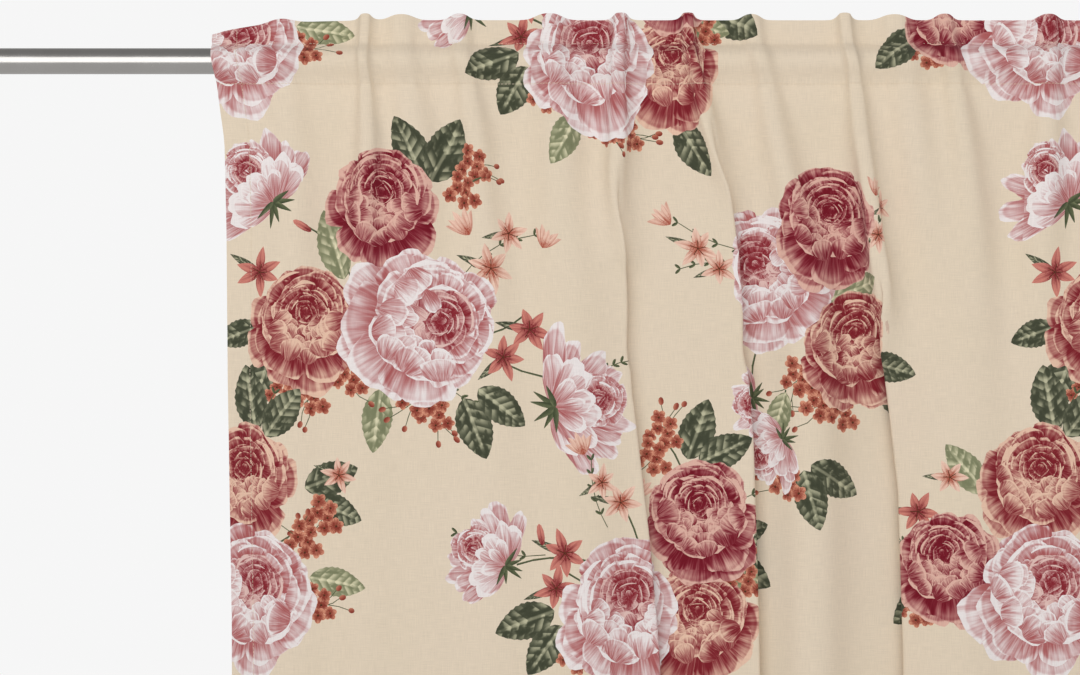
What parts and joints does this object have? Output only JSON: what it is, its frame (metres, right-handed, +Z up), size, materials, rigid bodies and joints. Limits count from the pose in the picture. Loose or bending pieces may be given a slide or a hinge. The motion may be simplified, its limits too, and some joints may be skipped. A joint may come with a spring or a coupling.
{
  "type": "window curtains on a rod",
  "caption": "Gathered rod-pocket floral curtains on a round telescopic metal rod with end caps, held by wall brackets with hook cradles.",
  "frame": {"origin": "centre of the centre bracket's wall face", "axes": "+X to the right along the rod, +Y into the wall, +Z up"},
  "size_m": [2.8812, 0.1144, 2.6],
  "materials": {
    "rod_metal": "satin chrome",
    "bracket_metal": "satin chrome",
    "screw_steel": "zinc-plated steel",
    "white_plastic": "moulded matt",
    "curtain_cloth": "linen-look cloth with a printed rose pattern"
  },
  "bodies": {
    "brackets": {"left_wall_plate": "bracket_metal", "left_upper_wall_screw": "screw_steel", "left_lower_wall_screw": "screw_steel", "left_grub_screw": "screw_steel", "left_arm": "bracket_metal", "left_cradle": "bracket_metal", "centre_wall_plate": "bracket_metal", "centre_upper_wall_screw": "screw_steel", "centre_lower_wall_screw": "screw_steel", "centre_grub_screw": "screw_steel", "centre_arm": "bracket_metal", "centre_cradle": "bracket_metal", "right_wall_plate": "bracket_metal", "right_upper_wall_screw": "screw_steel", "right_lower_wall_screw": "screw_steel", "right_grub_screw": "screw_steel", "right_arm": "bracket_metal", "right_cradle": "bracket_metal"},
    "left_cover": {"left_plate_cover": "bracket_metal"},
    "left_screw": {"left_thumb_screw": "screw_steel"},
    "left_knob": {"left_thumb_knob": "bracket_metal"},
    "centre_cover": {"centre_plate_cover": "bracket_metal"},
    "centre_screw": {"centre_thumb_screw": "screw_steel"},
    "centre_knob": {"centre_thumb_knob": "bracket_metal"},
    "right_cover": {"right_plate_cover": "bracket_metal"},
    "right_screw": {"right_thumb_screw": "screw_steel"},
    "right_knob": {"right_thumb_knob": "bracket_metal"},
    "rod": {"outer_tube": "rod_metal", "guide_bush": "white_plastic", "left_end_plug": "white_plastic", "left_outer_pocket_end": "curtain_cloth", "left_outer_hem": "curtain_cloth", "left_drop": "curtain_cloth", "left_heading": "curtain_cloth", "left_pocket": "curtain_cloth", "left_bottom_hem": "curtain_cloth", "right_outer_pocket_end": "curtain_cloth", "right_outer_hem": "curtain_cloth", "right_drop": "curtain_cloth", "right_heading": "curtain_cloth", "right_pocket": "curtain_cloth", "right_bottom_hem": "curtain_cloth"},
    "rod_inner": {"inner_tube": "rod_metal", "right_end_plug": "white_plastic"},
    "left_cap": {"left_finial": "rod_metal"},
    "right_cap": {"right_finial": "rod_metal"},
    "left_edge": {"left_leading_pocket_end": "curtain_cloth", "left_leading_hem": "curtain_cloth"},
    "right_edge": {"right_leading_pocket_end": "curtain_cloth", "right_leading_hem": "curtain_cloth"}
  },
  "joints": [
    {"name": "left_cover_slide", "type": "slide", "parent": "brackets", "child": "left_cover", "axis": [0, -1, 0], "range_m": [0, 0.035]},
    {"name": "left_screw_travel", "type": "slide", "parent": "brackets", "child": "left_screw", "axis": [0, 0, -1], "range_m": [0, 0.0033]},
    {"name": "left_knob_turn", "type": "hinge", "parent": "left_screw", "child": "left_knob", "pos_m": [-1.35, -0.095, -0.03], "axis": [0, 0, -1], "range_deg": [0, 1440]},
    {"name": "centre_cover_slide", "type": "slide", "parent": "brackets", "child": "centre_cover", "axis": [0, -1, 0], "range_m": [0, 0.035]},
    {"name": "centre_screw_travel", "type": "slide", "parent": "brackets", "child": "centre_screw", "axis": [0, 0, -1], "range_m": [0, 0.0033]},
    {"name": "centre_knob_turn", "type": "hinge", "parent": "centre_screw", "child": "centre_knob", "pos_m": [0, -0.095, -0.03], "axis": [0, 0, -1], "range_deg": [0, 1440]},
    {"name": "right_cover_slide", "type": "slide", "parent": "brackets", "child": "right_cover", "axis": [0, -1, 0], "range_m": [0, 0.035]},
    {"name": "right_screw_travel", "type": "slide", "parent": "brackets", "child": "right_screw", "axis": [0, 0, -1], "range_m": [0, 0.0033]},
    {"name": "right_knob_turn", "type": "hinge", "parent": "right_screw", "child": "right_knob", "pos_m": [1.35, -0.095, -0.03], "axis": [0, 0, -1], "range_deg": [0, 1440]},
    {"name": "rod_lift", "type": "slide", "parent": "brackets", "child": "rod", "axis": [0, 0, 1], "range_m": [0, 0.04]},
    {"name": "rod_telescope", "type": "slide", "parent": "rod", "child": "rod_inner", "axis": [1, 0, 0], "range_m": [-0.01, 0.3]},
    {"name": "left_finial_pull", "type": "slide", "parent": "rod", "child": "left_cap", "axis": [-1, 0, 0], "range_m": [0, 0.03]},
    {"name": "right_finial_pull", "type": "slide", "parent": "rod_inner", "child": "right_cap", "axis": [1, 0, 0], "range_m": [0, 0.03]},
    {"name": "left_draw", "type": "slide", "parent": "rod", "child": "left_edge", "axis": [-1, 0, 0], "range_m": [0, 0.7], "deforming": ["left_drop", "left_heading", "left_pocket", "left_bottom_hem"]},
    {"name": "right_draw", "type": "slide", "parent": "rod", "child": "right_edge", "axis": [1, 0, 0], "range_m": [0, 0.7], "deforming": ["right_drop", "right_heading", "right_pocket", "right_bottom_hem"]}
  ],
  "couplings": [
    {"joint": "left_screw_travel", "follows": "left_knob_turn", "m_per_rad": 0.00012732},
    {"joint": "centre_screw_travel", "follows": "centre_knob_turn", "m_per_rad": 0.00012732},
    {"joint": "right_screw_travel", "follows": "right_knob_turn", "m_per_rad": 0.00012732}
  ]
}
